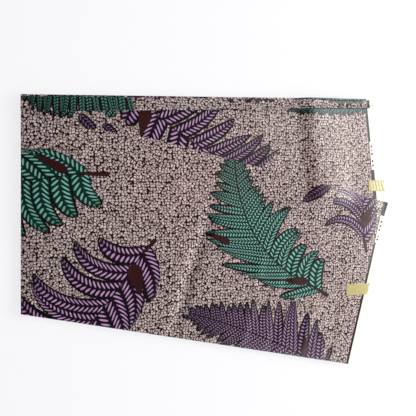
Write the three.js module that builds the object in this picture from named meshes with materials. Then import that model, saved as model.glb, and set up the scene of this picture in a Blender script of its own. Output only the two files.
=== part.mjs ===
import * as THREE from "three";

// Six yards of wax print cotton, folded in half along its length so that the two selvedges meet,
// then folded back and forth into a flat wedge-shaped pile, which lies on a table.
// Lengths are in millimetres and +Z is up. The origin is on the table, under the middle of the pile.

// Driving dimensions
const CENTRE_FOLD_X = -322.8; // the straight edge where the cloth is folded along its length
const CLOTH_WALL = 1.2; // one stretch of the folded cloth, with the air in it
const LAY_GAP = 0.3; // between pieces that lie on each other
const STACK_HEIGHT = 8.2; // the hidden layers, at the edges of the pile
const STACK_INSET = 3; // the hidden layers stay this far inside the panels
const STACK_FOLDS = 5; // rounded folds, one above the other, round the side of the pile
const FOLD_DEPTH = 1.1; // of the groove between two of those folds
const PILLOW_HEIGHT = 3; // the pile is this much thicker in the middle than at its edges
const PILLOW_REACH = 24; // distance from an edge over which it thickens
const STACK_FOLLOW = 0.7; // the share of the top's relief that the hidden layers follow
const LOOSENESS = 0.16; // the share of the relief by which a stretch lies off the one below
const TURNOVER_WRAP = 4.5; // how far the top turnover bends down behind the upper panel
const TAPE_THICKNESS = 0.6;
const TAPE_WIDTH = 20;
const TAPE_BEND = 1.6; // radius of the tape over the edge of the cloth

// Corners of the panels, seen from above
const UPPER = {
  hiddenLeft: { x: CENTRE_FOLD_X, y: 13 },
  hiddenRight: { x: 310.5, y: 53 },
  selvedgeBulge: { x: 304.5, y: 160 },
  topRight: { x: 286, y: 240.5 },
  topLeft: { x: CENTRE_FOLD_X, y: 202.5 },
};
const LOWER = {
  bottomLeft: { x: CENTRE_FOLD_X, y: -111.7 },
  bottomRight: { x: 233.5, y: -242 },
  topRight: { x: 322.8, y: 48.4 },
  bend: { x: -143, y: 150.2 },
  topLeft: { x: CENTRE_FOLD_X, y: 164 },
};
const BEND_EASE = 45; // length over which the lower panel's top fold turns at its bend
const TURNOVER = {
  lowerLeft: { x: CENTRE_FOLD_X, y: 178.5 },
  lowerRight: { x: 286.5, y: 221.3 },
};

// The large folds: a ridge on the upper panel and a trough on the lower one
const RIDGE = {
  top: { x: 156, y: 240 },
  bottom: { x: 174, y: 62 },
  height: 4,
  leftWidth: 38,
  rightWidth: 95,
  fade: 40,
};
const TROUGH_PATH = [
  { x: -4, y: 122 },
  { x: -28, y: 53 },
  { x: -45, y: -4 },
  { x: -58, y: -28 },
  { x: -101, y: -172 },
];
const TROUGH = { leftWidth: 22, rightWidth: 28, depth: 2.6, shallowY: 95, deepY: -30 };

// Tape tabs that hold the selvedges: how far each reaches in, and the height of its middle
const UPPER_TAPE = { innerX: 273, middleY: 81 };
const LOWER_TAPE = { innerX: 224, middleY: -108 };

// Grid steps
const PANEL_COLUMNS = 46;
const UPPER_ROWS = 9;
const LOWER_ROWS = 14;
const STACK_COLUMNS = 32;
const STACK_ROWS = { belowNotch: 11, aboveNotch: 6 };
const TURNOVER_ROWS = 2;
const WRAP_STEPS = 4;
const TAPE_FLAP_STEPS = 5;
const TAPE_CROSS_STEPS = 3;

const smooth = (from, to, value) => THREE.MathUtils.smoothstep(value, Math.min(from, to), Math.max(from, to));
const between = (a, b, t) => ({ x: a.x + (b.x - a.x) * t, y: a.y + (b.y - a.y) * t });

/** Signed distance of a point from the line a to b, positive on its left, and its place along it. */
function besideLine(a, b, x, y) {
  const length = Math.hypot(b.x - a.x, b.y - a.y);
  const alongX = (b.x - a.x) / length;
  const alongY = (b.y - a.y) / length;
  return {
    left: alongX * (y - a.y) - alongY * (x - a.x),
    along: alongX * (x - a.x) + alongY * (y - a.y),
    length,
  };
}

/** The nearest stretch of a path to a point, as a signed distance, positive on the path's left. */
function besidePath(path, x, y) {
  let nearest = { distance: Infinity, left: 0 };
  for (let i = 0; i + 1 < path.length; i++) {
    const { left, along, length } = besideLine(path[i], path[i + 1], x, y);
    const past = Math.max(0, -along, along - length);
    const distance = Math.hypot(left, past);
    if (distance < nearest.distance) nearest = { distance, left };
  }
  return Math.sign(nearest.left) * nearest.distance;
}

// The outline of the whole pile, anticlockwise
const PILE_OUTLINE = [
  LOWER.bottomLeft,
  LOWER.bottomRight,
  LOWER.topRight,
  UPPER.hiddenRight,
  UPPER.topRight,
  UPPER.topLeft,
];
// Its straight sides, without the short step between the two panels
const PILE_SIDES = [
  [LOWER.bottomLeft, LOWER.bottomRight],
  [LOWER.bottomRight, LOWER.topRight],
  [UPPER.hiddenRight, UPPER.topRight],
  [UPPER.topRight, UPPER.topLeft],
  [UPPER.topLeft, LOWER.bottomLeft],
];

/** The soft thickening of the pile: it rises from nothing at each side to a level middle. */
function pillow(x, y) {
  let level = PILLOW_HEIGHT;
  for (const [a, b] of PILE_SIDES) {
    const inside = Math.max(0, besideLine(a, b, x, y).left);
    level *= 1 - Math.exp(-inside / PILLOW_REACH);
  }
  return level;
}

/** The ridge: a raised cosine on each side of its crest, which dies away past its lower end. */
function ridge(x, y) {
  const { left, along, length } = besideLine(RIDGE.top, RIDGE.bottom, x, y);
  const reach = left > 0 ? RIDGE.rightWidth : RIDGE.leftWidth; // the crest runs down the page
  const across = Math.min(1, Math.abs(left) / reach);
  const ended = smooth(length, length + RIDGE.fade, along);
  return RIDGE.height * (0.5 + 0.5 * Math.cos(Math.PI * across)) * (1 - ended);
}

/** The trough, as the share of its depth: deepest at the front, and gone at the lower panel's top fold. */
function trough(x, y) {
  const left = besidePath(TROUGH_PATH, x, y);
  const reach = left > 0 ? TROUGH.rightWidth : TROUGH.leftWidth; // the path runs down the page
  const across = Math.min(1, Math.abs(left) / reach);
  const deep = 1 - smooth(TROUGH.deepY, TROUGH.shallowY, y);
  return deep * (0.5 + 0.5 * Math.cos(Math.PI * across));
}

/** Height of the cloth's relief over the flat pile. */
function rise(x, y) {
  const level = pillow(x, y);
  return level * (1 - (TROUGH.depth / PILLOW_HEIGHT) * trough(x, y)) + ridge(x, y);
}

/** 1 where the upper panel lies below the lower one, easing to 0 past its hidden edge. */
function overUpperPanel(x, y) {
  const { left } = besideLine(UPPER.hiddenLeft, UPPER.hiddenRight, x, y);
  return smooth(-26, -3, left);
}

const stackTop = (x, y) => STACK_HEIGHT + STACK_FOLLOW * rise(x, y);
const upperUnderside = (x, y) => STACK_HEIGHT + LAY_GAP + rise(x, y);
const upperTop = (x, y) => upperUnderside(x, y) + CLOTH_WALL;
const onUpper = (x, y) => upperTop(x, y) + LAY_GAP + LOOSENESS * rise(x, y);
const lowerUnderside = (x, y) => {
  return THREE.MathUtils.lerp(upperUnderside(x, y), onUpper(x, y), overUpperPanel(x, y));
};
const lowerTop = (x, y) => lowerUnderside(x, y) + CLOTH_WALL;

/** A curve's points, evenly spaced, as plain x and y. */
function along(curve, steps) {
  return curve.getSpacedPoints(steps).map(({ x, y }) => ({ x, y }));
}
const plan = ({ x, y }) => new THREE.Vector2(x, y);
const line = (a, b) => new THREE.LineCurve(plan(a), plan(b));

/** Fills four sides with a grid: each point blends the sides across and up, less the corners. */
function fillSides({ bottom, right, top, left }) {
  const columns = bottom.length - 1;
  const rows = left.length - 1;
  const mix = (key, i, j) => {
    const u = i / columns;
    const v = j / rows;
    const sides = (1 - v) * bottom[i][key] + v * top[i][key] + (1 - u) * left[j][key] + u * right[j][key];
    const lowCorners = (1 - v) * ((1 - u) * bottom[0][key] + u * bottom[columns][key]);
    const highCorners = v * ((1 - u) * top[0][key] + u * top[columns][key]);
    return sides - lowCorners - highCorners;
  };
  const grid = [];
  for (let j = 0; j <= rows; j++) {
    grid.push([]);
    for (let i = 0; i <= columns; i++) grid[j].push({ x: mix("x", i, j), y: mix("y", i, j) });
  }
  return grid;
}

const raised = (grid, height) => grid.map((row) => row.map(({ x, y }) => ({ x, y, z: height(x, y) })));

/** The rim of a grid, anticlockwise, as row and column pairs. */
function rimOf(rows, columns) {
  const rim = [];
  for (let i = 0; i < columns; i++) rim.push([0, i]);
  for (let j = 0; j < rows; j++) rim.push([j, columns]);
  for (let i = columns; i > 0; i--) rim.push([rows, i]);
  for (let j = rows; j > 0; j--) rim.push([j, 0]);
  return rim;
}

/** A closed solid between an outer and an inner grid, with rings round its side between their rims. */
function solidBetween(outer, inner, rings = []) {
  const rows = outer.length - 1;
  const columns = outer[0].length - 1;
  const positions = [];
  const index = [];
  const put = ({ x, y, z }) => positions.push(x, y, z) / 3 - 1;
  const outerIds = outer.map((row) => row.map(put));
  const innerIds = inner.map((row) => row.map(put));
  for (let j = 0; j < rows; j++) {
    for (let i = 0; i < columns; i++) {
      const [a, b, c, d] = [outerIds[j][i], outerIds[j][i + 1], outerIds[j + 1][i + 1], outerIds[j + 1][i]];
      index.push(a, b, c, a, c, d);
      const [e, f, g, h] = [innerIds[j][i], innerIds[j][i + 1], innerIds[j + 1][i + 1], innerIds[j + 1][i]];
      index.push(e, g, f, e, h, g);
    }
  }
  const rim = rimOf(rows, columns);
  const levels = [
    rim.map(([j, i]) => outerIds[j][i]),
    ...rings.map((ring) => ring.map(put)),
    rim.map(([j, i]) => innerIds[j][i]),
  ];
  for (let k = 0; k + 1 < levels.length; k++) {
    for (let i = 0; i < rim.length; i++) {
      const next = (i + 1) % rim.length;
      const [high, low] = [levels[k], levels[k + 1]];
      index.push(low[i], low[next], high[next], low[i], high[next], high[i]);
    }
  }
  const geometry = new THREE.BufferGeometry();
  geometry.setAttribute("position", new THREE.Float32BufferAttribute(positions, 3));
  geometry.setIndex(index);
  geometry.computeVertexNormals();
  return geometry;
}

const model = new THREE.Group();

function addPiece(name, geometry, color, roughness) {
  const piece = new THREE.Mesh(geometry, new THREE.MeshStandardMaterial({ color, roughness, metalness: 0 }));
  piece.name = name;
  model.add(piece);
}

// Upper panel: the stretch of cloth whose selvedge leans to the right, partly under the lower panel.
const upperSelvedge = new THREE.QuadraticBezierCurve(
  plan(UPPER.hiddenRight),
  plan({
    x: 2 * UPPER.selvedgeBulge.x - (UPPER.hiddenRight.x + UPPER.topRight.x) / 2,
    y: 2 * UPPER.selvedgeBulge.y - (UPPER.hiddenRight.y + UPPER.topRight.y) / 2,
  }),
  plan(UPPER.topRight),
);
const upperPlan = fillSides({
  bottom: along(line(UPPER.hiddenLeft, UPPER.hiddenRight), PANEL_COLUMNS),
  right: along(upperSelvedge, UPPER_ROWS),
  top: along(line(UPPER.topLeft, UPPER.topRight), PANEL_COLUMNS),
  left: along(line(UPPER.hiddenLeft, UPPER.topLeft), UPPER_ROWS),
});
const upperGeometry = solidBetween(raised(upperPlan, upperTop), raised(upperPlan, upperUnderside));
addPiece("upper_panel", upperGeometry, 0xb79f98, 0.5);

// Lower panel: it lies on the upper one, and its top fold has a slight bend.
const awayFromBend = (corner) => {
  const { length } = besideLine(LOWER.bend, corner, 0, 0);
  return between(LOWER.bend, corner, BEND_EASE / length);
};
const topFold = new THREE.CurvePath();
topFold.add(line(LOWER.topLeft, awayFromBend(LOWER.topLeft)));
topFold.add(
  new THREE.QuadraticBezierCurve(
    plan(awayFromBend(LOWER.topLeft)),
    plan(LOWER.bend),
    plan(awayFromBend(LOWER.topRight)),
  ),
);
topFold.add(line(awayFromBend(LOWER.topRight), LOWER.topRight));
const lowerPlan = fillSides({
  bottom: along(line(LOWER.bottomLeft, LOWER.bottomRight), PANEL_COLUMNS),
  right: along(line(LOWER.bottomRight, LOWER.topRight), LOWER_ROWS),
  top: along(topFold, PANEL_COLUMNS),
  left: along(line(LOWER.bottomLeft, LOWER.topLeft), LOWER_ROWS),
});
const lowerGeometry = solidBetween(raised(lowerPlan, lowerTop), raised(lowerPlan, lowerUnderside));
addPiece("lower_panel", lowerGeometry, 0xb79f98, 0.5);

// Folded stack: the layers below both panels, as one solid with a rounded fold for each few layers.
/** A polygon's corners moved inwards, each along the mitre of its two sides. */
function insetCorners(corners, distance) {
  return corners.map((corner, i) => {
    const before = corners[(i + corners.length - 1) % corners.length];
    const after = corners[(i + 1) % corners.length];
    const first = new THREE.Vector2(before.y - corner.y, corner.x - before.x).normalize();
    const second = new THREE.Vector2(corner.y - after.y, after.x - corner.x).normalize();
    const mitre = first.clone().add(second);
    const scale = distance / (1 + first.dot(second));
    return { x: corner.x + mitre.x * scale, y: corner.y + mitre.y * scale };
  });
}

/** The four sides of the stack at an inset from the pile's outline. */
function stackSides(inset) {
  const [lowLeft, lowRight, step, notch, highRight, highLeft] = insetCorners(PILE_OUTLINE, inset);
  const joint = between(step, notch, 0.5);
  const rowsUp = STACK_ROWS.belowNotch + STACK_ROWS.aboveNotch;
  const belowNotch = along(line(lowRight, joint), STACK_ROWS.belowNotch);
  const aboveNotch = along(line(joint, highRight), STACK_ROWS.aboveNotch);
  return {
    bottom: along(line(lowLeft, lowRight), STACK_COLUMNS),
    right: [...belowNotch, ...aboveNotch.slice(1)],
    top: along(line(highLeft, highRight), STACK_COLUMNS),
    left: along(line(lowLeft, highLeft), rowsUp),
  };
}

/** The grid's rim at an inset, at a share of the stack's height. */
function stackRing(inset, share) {
  const { bottom, right, top, left } = stackSides(inset);
  const rim = [
    ...bottom.slice(0, -1),
    ...right.slice(0, -1),
    ...[...top].reverse().slice(0, -1),
    ...[...left].reverse().slice(0, -1),
  ];
  return rim.map(({ x, y }) => ({ x, y, z: share * stackTop(x, y) }));
}

const stackRings = [];
for (let fold = 0; fold < STACK_FOLDS; fold++) {
  const fromTop = (offset) => 1 - (fold + offset) / STACK_FOLDS;
  stackRings.push(stackRing(STACK_INSET, fromTop(0.3)));
  stackRings.push(stackRing(STACK_INSET, fromTop(0.7)));
  if (fold + 1 < STACK_FOLDS) stackRings.push(stackRing(STACK_INSET + FOLD_DEPTH, fromTop(1)));
}
const stackPlan = fillSides(stackSides(STACK_INSET + FOLD_DEPTH));
const stackGeometry = solidBetween(
  raised(stackPlan, stackTop),
  raised(stackPlan, () => 0),
  stackRings,
);
addPiece("folded_stack", stackGeometry, 0xa08d86, 0.7);

// Top turnover: the next stretch of cloth, which comes over the far edge and lies on the upper panel.
/** Points across the turnover, from its free edge to the far edge of the pile and down behind it. */
function turnoverGrid(lift) {
  const flat = fillSides({
    bottom: along(line(TURNOVER.lowerLeft, TURNOVER.lowerRight), PANEL_COLUMNS),
    right: along(line(TURNOVER.lowerRight, UPPER.topRight), TURNOVER_ROWS),
    top: along(line(UPPER.topLeft, UPPER.topRight), PANEL_COLUMNS),
    left: along(line(TURNOVER.lowerLeft, UPPER.topLeft), TURNOVER_ROWS),
  });
  const laid = raised(flat, (x, y) => onUpper(x, y) + lift);
  const edge = laid[laid.length - 1];
  const radius = LAY_GAP + lift;
  for (let step = 1; step <= WRAP_STEPS; step++) {
    const turn = (Math.min(1, step / (WRAP_STEPS - 1)) * Math.PI) / 2;
    const drop = step === WRAP_STEPS ? TURNOVER_WRAP : 0;
    laid.push(
      edge.map(({ x, y, z }) => ({
        x,
        y: y + radius * Math.sin(turn),
        z: z - radius * (1 - Math.cos(turn)) - drop,
      })),
    );
  }
  return laid;
}
const turnoverGeometry = solidBetween(turnoverGrid(CLOTH_WALL), turnoverGrid(0));
addPiece("top_turnover", turnoverGeometry, 0x6f8a80, 0.45);

// Tape tabs: a strip of clear yellow tape over the edge of a selvedge and down its side.
/** Points of a tape face: along the top of the cloth to its edge, round it and down to the table. */
function tapeGrid({ innerX, middleY }, edgeX, clothTop, lift) {
  const rows = [];
  for (let row = 0; row <= TAPE_CROSS_STEPS; row++) {
    const y = middleY + TAPE_WIDTH * (row / TAPE_CROSS_STEPS - 0.5);
    const outerX = edgeX(y);
    const points = [];
    for (let step = 0; step <= TAPE_FLAP_STEPS; step++) {
      const x = innerX + ((outerX - innerX) * step) / TAPE_FLAP_STEPS;
      points.push({ x, y, z: clothTop(x, y) + 2 * LAY_GAP + lift });
    }
    const last = points[points.length - 1];
    const radius = TAPE_BEND + lift;
    const bendTop = last.z - radius;
    for (const turn of [Math.PI / 6, Math.PI / 3, Math.PI / 2]) {
      points.push({ x: outerX + radius * Math.sin(turn), y, z: bendTop + radius * Math.cos(turn) });
    }
    points.push({ x: outerX + radius, y, z: LAY_GAP });
    rows.push(points);
  }
  return rows;
}

/** The x of a panel's selvedge at a given y, found between the points of its side. */
function selvedgeX(side, y) {
  const after = Math.max(1, side.findIndex((point) => point.y > y));
  const [a, b] = [side[after - 1], side[after]];
  return a.x + ((b.x - a.x) * (y - a.y)) / (b.y - a.y);
}

const rightSide = (grid) => grid.map((row) => row[row.length - 1]);
const tapes = [
  { name: "tape_tab_upper", place: UPPER_TAPE, side: rightSide(upperPlan), clothTop: upperTop },
  { name: "tape_tab_lower", place: LOWER_TAPE, side: rightSide(lowerPlan), clothTop: lowerTop },
];
for (const { name, place, side, clothTop } of tapes) {
  const edgeX = (y) => selvedgeX(side, y) - TAPE_BEND + 2 * LAY_GAP;
  const outer = tapeGrid(place, edgeX, clothTop, TAPE_THICKNESS);
  const inner = tapeGrid(place, edgeX, clothTop, 0);
  addPiece(name, solidBetween(outer, inner), 0xc9c07a, 0.35);
}

export default model;
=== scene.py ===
import functools
import math
import bpy
import mathutils
import numpy as np
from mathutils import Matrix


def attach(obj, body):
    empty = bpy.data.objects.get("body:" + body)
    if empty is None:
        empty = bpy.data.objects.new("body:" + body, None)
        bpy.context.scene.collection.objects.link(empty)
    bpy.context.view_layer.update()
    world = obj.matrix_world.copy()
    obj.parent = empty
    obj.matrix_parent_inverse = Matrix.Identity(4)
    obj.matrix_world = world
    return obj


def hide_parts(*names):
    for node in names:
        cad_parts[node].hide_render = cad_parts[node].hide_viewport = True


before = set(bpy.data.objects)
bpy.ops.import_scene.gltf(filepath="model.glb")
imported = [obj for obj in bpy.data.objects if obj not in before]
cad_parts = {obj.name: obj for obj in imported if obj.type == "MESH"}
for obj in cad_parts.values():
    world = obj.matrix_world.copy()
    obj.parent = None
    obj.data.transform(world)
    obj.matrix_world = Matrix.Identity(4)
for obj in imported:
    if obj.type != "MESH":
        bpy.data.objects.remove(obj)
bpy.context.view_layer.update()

scene = bpy.context.scene

# Camera
# The photograph looks down on the pile from its centre fold's side, tilted 20 degrees, so that the
# left end is nearer than the selvedges. It is held square to the pile, with +Y up in the picture.
image_width = 416
focal_length_px = 502
sensor_width_mm = 36
camera_tilt = math.radians(20)
camera_distance = 0.825
looked_at = (-0.03505, 0.040, 0.0)

camera_data = bpy.data.cameras.new("camera")
camera_data.sensor_width = sensor_width_mm
camera_data.lens = sensor_width_mm * focal_length_px / image_width
camera = bpy.data.objects.new("camera", camera_data)
camera.location = (
    looked_at[0] - camera_distance * math.sin(camera_tilt),
    looked_at[1],
    looked_at[2] + camera_distance * math.cos(camera_tilt),
)
camera.rotation_euler = (0, -camera_tilt, 0)
scene.collection.objects.link(camera)
scene.camera = camera

# Studio
# A white table lit from within, a dim surround, and soft lights that no camera sees. The softboxes
# past the selvedges and the two small cards haze the waxed cloth by their reflections. The fills
# light it from the right, the far side and the near side, and the left one only opens the shadows.
scene.view_settings.view_transform = "Standard"


def linear(hex_colour):
    """An sRGB hex colour as linear red, green, blue and alpha."""
    parts = [int(hex_colour[i:i + 2], 16) / 255 for i in (1, 3, 5)]
    return (*[p / 12.92 if p <= 0.04045 else ((p + 0.055) / 1.055) ** 2.4 for p in parts], 1.0)


def add(tree, kind, inputs=None, **settings):
    """Adds a shader node with its settings. An input is a value, or what it is linked from: a socket,
    or a node, which stands for its first output in use."""
    node = tree.nodes.new("ShaderNode" + kind)
    for name, value in settings.items():
        setattr(node, name, value)
    for key, value in (inputs or {}).items():
        if isinstance(value, bpy.types.Node):
            value = next(socket for socket in value.outputs if socket.enabled)
        if isinstance(value, bpy.types.NodeSocket):
            tree.links.new(value, node.inputs[key])
        else:
            node.inputs[key].default_value = value
    return node


def new_material(name):
    """A material with an empty node tree, and the function that adds its nodes."""
    material = bpy.data.materials.new(name)
    material.use_nodes = True
    material.node_tree.nodes.clear()
    return material, functools.partial(add, material.node_tree)


def light_panel(name, place, aim, size, watts, colour):
    """A rectangular soft light at a place, turned towards a point, that no camera sees."""
    lamp = bpy.data.lights.new(name, "AREA")
    lamp.shape = "RECTANGLE"
    lamp.size, lamp.size_y = size
    lamp.energy = watts
    lamp.color = linear(colour)[:3]
    lamp_object = bpy.data.objects.new(name, lamp)
    lamp_object.location = place
    away = np.array(place) - np.array(aim)
    across = math.hypot(away[0], away[1])
    lamp_object.rotation_euler = (math.atan2(across, away[2]), 0, math.atan2(away[0], -away[1]))
    lamp_object.visible_camera = False
    scene.collection.objects.link(lamp_object)


warm_white = "#fffdf8"
cool_white = "#fbfcff"
light_panel("selvedge_softbox_far", (1.38, 0.66, 1.2), (0.15, 0.15, 0.0), (0.70, 0.72), 9.6, warm_white)
light_panel("inner_card", (0.66, 0.38, 1.2), (0.07, 0.16, 0.0), (0.33, 0.32), 0.55, warm_white)
light_panel("selvedge_softbox_near", (1.30, -0.42, 1.2), (0.15, -0.1, 0.0), (0.70, 1.10), 1.4, warm_white)
light_panel("fill_right", (2.1, 0.0, 0.75), (0.2, 0.0, 0.0), (0.6, 1.4), 52, warm_white)
light_panel("pink_card", (0.34, 0.10, 1.2), (-0.06, 0.06, 0.0), (0.22, 0.42), 0.3, "#ff5f78")
light_panel("fill_left", (-1.45, 0.0, 1.15), (-0.1, 0.0, 0.0), (1.6, 1.2), 1.4, cool_white)
light_panel("fill_far", (1.0, 1.4, 1.15), (0.15, 0.1, 0.0), (1.6, 1.2), 11.5, cool_white)
light_panel("fill_near", (0.85, -1.5, 1.15), (0.15, -0.1, 0.0), (1.6, 1.2), 18, cool_white)

world = bpy.data.worlds.new("surround")
world.use_nodes = True
world.node_tree.nodes["Background"].inputs["Color"].default_value = linear("#f9faff")
world.node_tree.nodes["Background"].inputs["Strength"].default_value = 0.07
scene.world = world

floor_half = 3.0
floor_drop = 0.0002
floor_mesh = bpy.data.meshes.new("table")
floor_corners = [
    (x * floor_half, y * floor_half, -floor_drop) for x, y in ((-1, -1), (1, -1), (1, 1), (-1, 1))
]
floor_mesh.from_pydata(floor_corners, [], [(0, 1, 2, 3)])
floor = bpy.data.objects.new("table", floor_mesh)
scene.collection.objects.link(floor)
# A matt sheet that glows, so that it stays white in the cloth's shade
floor_material, put = new_material("backlit_white_acrylic")
shader = put(
    "BsdfPrincipled",
    {
        "Base Color": linear("#78797b"), "Roughness": 0.9, "Specular IOR Level": 0.1,
        "Emission Color": linear("#fdfdff"), "Emission Strength": 0.81,
    },
)
put("OutputMaterial", {0: shader})
floor_mesh.materials.append(floor_material)

# Lower panel
# The stretch of cloth on top: plain-weave cotton about 0.3 mm thick, doubled by the fold along its
# length, waxed, printed and pressed flat. Its far edge is a fold, and its right one the selvedges.
centre_fold_x = -0.3228
cloth_wall = 0.0012
lay_gap = 0.0003
stack_height = 0.0082
pillow_height = 0.003
pillow_reach = 0.024
looseness = 0.16
upper_hidden_left = (centre_fold_x, 0.013)
upper_hidden_right = (0.3105, 0.053)
upper_bulge = (0.3045, 0.160)
upper_top_right = (0.286, 0.2405)
upper_top_left = (centre_fold_x, 0.2025)
lower_bottom_left = (centre_fold_x, -0.1117)
lower_bottom_right = (0.2335, -0.242)
lower_top_right = (0.3228, 0.0484)
lower_bend = (-0.143, 0.1502)
lower_top_left = (centre_fold_x, 0.164)
bend_ease = 0.045
pile_sides = [
    (lower_bottom_left, lower_bottom_right),
    (lower_bottom_right, lower_top_right),
    (upper_hidden_right, upper_top_right),
    (upper_top_right, upper_top_left),
    (upper_top_left, lower_bottom_left),
]
ridge_line = ((0.151, 0.240), (0.169, 0.062))
ridge_height = 0.0062
ridge_left_width = 0.034
ridge_right_width = 0.095
ridge_fade = 0.040
trough_path = [(-0.004, 0.122), (-0.028, 0.053), (-0.045, -0.004), (-0.058, -0.028), (-0.101, -0.172)]
trough_depth = 0.0036
trough_left_width = 0.017
trough_right_width = 0.019
trough_shallow_y = 0.095
trough_deep_y = -0.030


def ease(low, high, value):
    """A smooth step: 0 below low, 1 above high, and 3t^2 - 2t^3 between them."""
    t = np.clip((value - low) / (high - low), 0, 1)
    return t * t * (3 - 2 * t)


def hump(share):
    """A raised cosine: 1 at 0, falling smoothly to 0 at 1."""
    return 0.5 + 0.5 * np.cos(np.pi * share)


def beside_line(a, b, x, y):
    """Signed distance from the line a to b, positive on its left, the place along it, and its length."""
    length = math.dist(a, b)
    along_x, along_y = (b[0] - a[0]) / length, (b[1] - a[1]) / length
    return along_x * (y - a[1]) - along_y * (x - a[0]), along_x * (x - a[0]) + along_y * (y - a[1]), length


def pillow(x, y):
    """The pile's soft thickness: the product over its sides of 1 - exp(-distance / reach)."""
    level = np.full_like(x, pillow_height)
    for a, b in pile_sides:
        level = level * (1 - np.exp(-np.maximum(0, beside_line(a, b, x, y)[0]) / pillow_reach))
    return level


def ridge(x, y):
    """A crest with a narrow flank on its left and a wide one on its right, which dies away past its end."""
    left, along, length = beside_line(*ridge_line, x, y)
    across = np.minimum(1, np.abs(left) / np.where(left > 0, ridge_right_width, ridge_left_width))
    return ridge_height * hump(across) * (1 - ease(length, length + ridge_fade, along))


def trough(x, y):
    """The share of the trough's depth: a raised cosine about the nearest point of its path, which
    eases from 1 at the deep end's y to 0 at the shallow end's."""
    nearest = np.full_like(x, np.inf)
    signed = np.zeros_like(x)
    for a, b in zip(trough_path, trough_path[1:]):
        left, along, length = beside_line(a, b, x, y)
        away = np.hypot(left, np.maximum(0, np.maximum(-along, along - length)))
        signed = np.where(away < nearest, np.sign(left) * away, signed)
        nearest = np.minimum(nearest, away)
    across = np.minimum(1, np.abs(signed) / np.where(signed > 0, trough_right_width, trough_left_width))
    return (1 - ease(trough_deep_y, trough_shallow_y, y)) * hump(across)


def rise(x, y):
    """Height of the cloth's relief over a flat pile."""
    return pillow(x, y) * (1 - trough_depth / pillow_height * trough(x, y)) + ridge(x, y)


def upper_top(x, y):
    """Height of the upper panel's face."""
    return stack_height + lay_gap + cloth_wall + rise(x, y)


def on_upper(x, y):
    """Height of the underside of what lies on the upper panel."""
    return upper_top(x, y) + lay_gap + looseness * rise(x, y)


def lower_top(x, y):
    """Height of the lower panel's face: it lies on the upper panel, and comes down past its hidden edge."""
    over_upper = ease(-0.026, -0.003, beside_line(upper_hidden_left, upper_hidden_right, x, y)[0])
    return (1 - over_upper) * upper_top(x, y) + over_upper * (on_upper(x, y) + cloth_wall)


# Soft creases pressed into the cloth: where each starts and ends, its half width and its height
lower_creases = [
    ((0.060, -0.030), (0.020, -0.185), 0.015, 0.0011),
    ((0.110, -0.060), (0.075, -0.200), 0.014, -0.0010),
    ((0.160, -0.110), (0.135, -0.215), 0.013, 0.0010),
    ((0.215, -0.060), (0.190, -0.225), 0.012, -0.0009),
    ((-0.240, 0.140), (-0.225, -0.110), 0.020, 0.0004),
    ((-0.140, 0.120), (-0.170, -0.130), 0.018, -0.0004),
    ((-0.300, 0.020), (-0.060, 0.045), 0.012, 0.0003),
    ((0.090, 0.060), (0.270, 0.000), 0.016, 0.0005),
]


def creases(rows, x, y):
    """The sum of the soft creases: a raised cosine across each, eased to nothing at its ends."""
    total = np.zeros_like(x)
    for start, end, half_width, height in rows:
        left, along, length = beside_line(start, end, x, y)
        across = np.clip(np.abs(left) / half_width, 0, 1)
        ends = ease(-0.25 * length, 0.25 * length, along) * (1 - ease(0.75 * length, 1.25 * length, along))
        total += height * hump(across) * ends
    return total


def line_points(a, b, count):
    """Evenly spaced points from a to b."""
    t = np.linspace(0, 1, count)[:, None]
    return np.array(a) * (1 - t) + np.array(b) * t


def evenly(points, count):
    """Points at equal distances along a polyline."""
    place = np.concatenate([[0], np.cumsum(np.hypot(*np.diff(points, axis=0).T))])
    wanted = np.linspace(0, place[-1], count)
    return np.stack([np.interp(wanted, place, points[:, k]) for k in range(2)], axis=1)


def quadratic(a, control, b, count):
    """Points on a quadratic Bezier curve."""
    t = np.linspace(0, 1, count)[:, None]
    return (1 - t) ** 2 * np.array(a) + 2 * t * (1 - t) * np.array(control) + t ** 2 * np.array(b)


def fill_sides(bottom, right, top, left):
    """A grid of plan points inside four sides: each blends the sides across and up, less the corners."""
    u = np.linspace(0, 1, len(bottom))[None, :, None]
    v = np.linspace(0, 1, len(left))[:, None, None]
    sides = (1 - v) * bottom[None] + v * top[None] + (1 - u) * left[:, None] + u * right[:, None]
    low = (1 - v) * ((1 - u) * bottom[0] + u * bottom[-1])
    high = v * ((1 - u) * top[0] + u * top[-1])
    return sides - low - high


def rim_order(rows, columns):
    """Row and column of each point round a grid's rim, anticlockwise from its first corner."""
    across, up = np.arange(columns - 1), np.arange(rows - 1)
    row = np.concatenate([0 * across, up, 0 * across + rows - 1, rows - 1 - up])
    column = np.concatenate([across, 0 * up + columns - 1, columns - 1 - across, 0 * up])
    return row, column


def grid_quads(ids):
    """The corners of every cell of a grid of vertex numbers. A transposed grid faces the other way."""
    return np.stack([ids[:-1, :-1], ids[:-1, 1:], ids[1:, 1:], ids[1:, :-1]], axis=-1).reshape(-1, 4)


def band_quads(low, high):
    """The corners of the cells between two closed rings of vertex numbers."""
    return np.stack([low, np.roll(low, -1), np.roll(high, -1), high], axis=1)


def new_piece(name, points, faces):
    """A smooth shaded mesh from points and faces, as a new object in the scene."""
    mesh = bpy.data.meshes.new(name)
    mesh.from_pydata(points.tolist(), [], faces)
    mesh.shade_smooth()
    piece = bpy.data.objects.new(name, mesh)
    scene.collection.objects.link(piece)
    return piece


def map_flat(mesh, points):
    """Adds the UV map that the pattern lies on, which is the plan itself in metres."""
    flat_map = mesh.uv_layers.new(name="flat_cloth")
    corners = np.empty(len(mesh.loops), dtype=np.int32)
    mesh.loops.foreach_get("vertex_index", corners)
    flat_map.data.foreach_set("uv", points[corners, :2].ravel())


under_step = 4
rim_angles = np.radians([60, 25, -10, -45, -80])


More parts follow.
